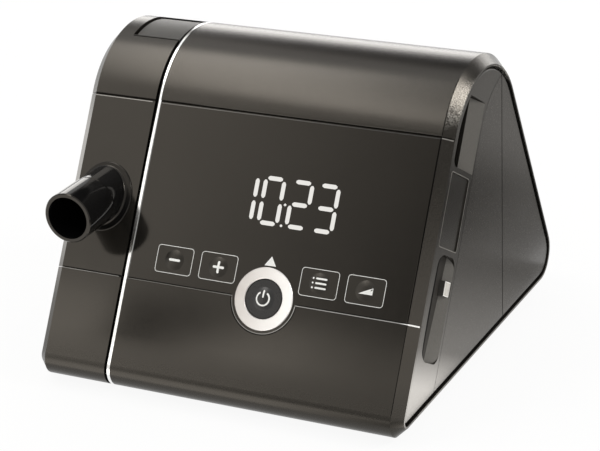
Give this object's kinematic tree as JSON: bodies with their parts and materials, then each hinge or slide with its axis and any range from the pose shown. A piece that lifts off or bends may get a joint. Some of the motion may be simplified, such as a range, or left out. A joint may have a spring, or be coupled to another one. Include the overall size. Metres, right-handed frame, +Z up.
{
  "type": "cpap machine",
  "caption": "Tent-shaped bedside breathing-therapy machine with a display window, keys, ringed start button, plug-in strip, air outlet on a slide-off side section, and a blower inside.",
  "frame": {"origin": "on the table, under the middle of the machine's bounding box", "axes": "+X from left to right seen from the front, +Y from front to back, +Z up; the tent section lies in YZ and runs along X"},
  "size_m": [0.17, 0.18, 0.1351],
  "materials": {
    "shell": "satin metallic-fleck anthracite",
    "side_panel": "fine grained matte anthracite",
    "side_strip": "smooth satin anthracite",
    "window": "smoke tinted, semi-gloss",
    "keys": "satin, printed white outline and sign",
    "power_button": "satin, printed white sign",
    "button_ring": "satin silver",
    "trim": "polished",
    "outlet": "high gloss black",
    "release": "coarse grained",
    "inner_plastic": "as moulded",
    "black_plastic": "as moulded",
    "segments": "diffusing",
    "circuit_board": "solder mask",
    "rubber": "matte",
    "steel": "bright",
    "magnet": "plain",
    "motor_can": "turned",
    "foam": "open cell foam",
    "filter": "pleated fibre pad"
  },
  "bodies": {
    "machine": {"front_frame": "shell", "display_window": "window", "lower_front_shell": "shell", "top_shell": "shell", "base_tray": "shell", "rubber_feet": "rubber", "side_strip": "side_strip", "side_panel_front": "side_panel", "side_panel_rear": "side_panel", "trim_strip": "trim", "dock_wall": "inner_plastic", "duct_seal": "rubber", "button_ring": "button_ring", "tact_switches": "black_plastic", "display_board": "circuit_board", "led_block": "black_plastic", "digit_segments": "segments", "main_board": "circuit_board", "board_spacers": "steel", "card_socket": "steel", "module_socket": "steel", "power_board": "circuit_board", "dc_inlet": "black_plastic", "scroll_base": "inner_plastic", "scroll_cover": "inner_plastic", "motor_housing": "motor_can", "motor_stator": "steel", "bearing_lower": "steel", "bearing_upper": "steel", "blower_bellows": "rubber", "outlet_hose": "rubber", "air_box": "inner_plastic", "air_box_lid": "inner_plastic", "muffler_foam": "foam", "intake_duct": "inner_plastic", "air_filter": "filter", "case_screws": "steel"},
    "side_section": {"section_upper_cover": "shell", "section_middle_cover": "shell", "section_lower_cover": "shell", "section_end_cap": "side_panel", "section_wall": "inner_plastic", "outlet_tube": "outlet", "outlet_elbow": "inner_plastic", "release_spring": "steel"},
    "release_button": {"release_button": "release"},
    "filter_cover": {"filter_cover": "black_plastic"},
    "impeller": {"impeller": "inner_plastic", "motor_shaft": "steel", "motor_rotor": "magnet"},
    "power_button": {"power_button": "power_button"},
    "key_minus": {"key_minus": "keys"},
    "key_plus": {"key_plus": "keys"},
    "key_menu": {"key_menu": "keys"},
    "key_ramp": {"key_ramp": "keys"},
    "memory_card": {"memory_card": "black_plastic"}
  },
  "joints": [
    {"name": "power_press", "type": "slide", "parent": "machine", "child": "power_button", "axis": [0, 0.866, -0.5], "range_m": [0, 0.0008], "stiffness_N_per_m": 600},
    {"name": "minus_press", "type": "slide", "parent": "machine", "child": "key_minus", "axis": [0, 0.866, -0.5], "range_m": [0, 0.0005], "stiffness_N_per_m": 800},
    {"name": "plus_press", "type": "slide", "parent": "machine", "child": "key_plus", "axis": [0, 0.866, -0.5], "range_m": [0, 0.0005], "stiffness_N_per_m": 800},
    {"name": "menu_press", "type": "slide", "parent": "machine", "child": "key_menu", "axis": [0, 0.866, -0.5], "range_m": [0, 0.0005], "stiffness_N_per_m": 800},
    {"name": "ramp_press", "type": "slide", "parent": "machine", "child": "key_ramp", "axis": [0, 0.866, -0.5], "range_m": [0, 0.0005], "stiffness_N_per_m": 800},
    {"name": "section_slide", "type": "slide", "parent": "machine", "child": "side_section", "axis": [-1, 0, 0], "range_m": [0, 0.06]},
    {"name": "release_press", "type": "slide", "parent": "side_section", "child": "release_button", "axis": [0, 0, -1], "range_m": [0, 0.002], "stiffness_N_per_m": 500, "deforming": ["release_spring"]},
    {"name": "filter_cover_swing", "type": "hinge", "parent": "machine", "child": "filter_cover", "pos_m": [0.036, 0.08408, 0.03057], "axis": [-1, 0, 0], "range_deg": [0, 70]},
    {"name": "card_slide", "type": "slide", "parent": "machine", "child": "memory_card", "axis": [1, 0, 0], "range_m": [0, 0.018]},
    {"name": "impeller_spin", "type": "hinge", "parent": "machine", "child": "impeller", "pos_m": [0.026, 0.01804, 0.07586], "axis": [0, 0, -1], "continuous": true}
  ]
}
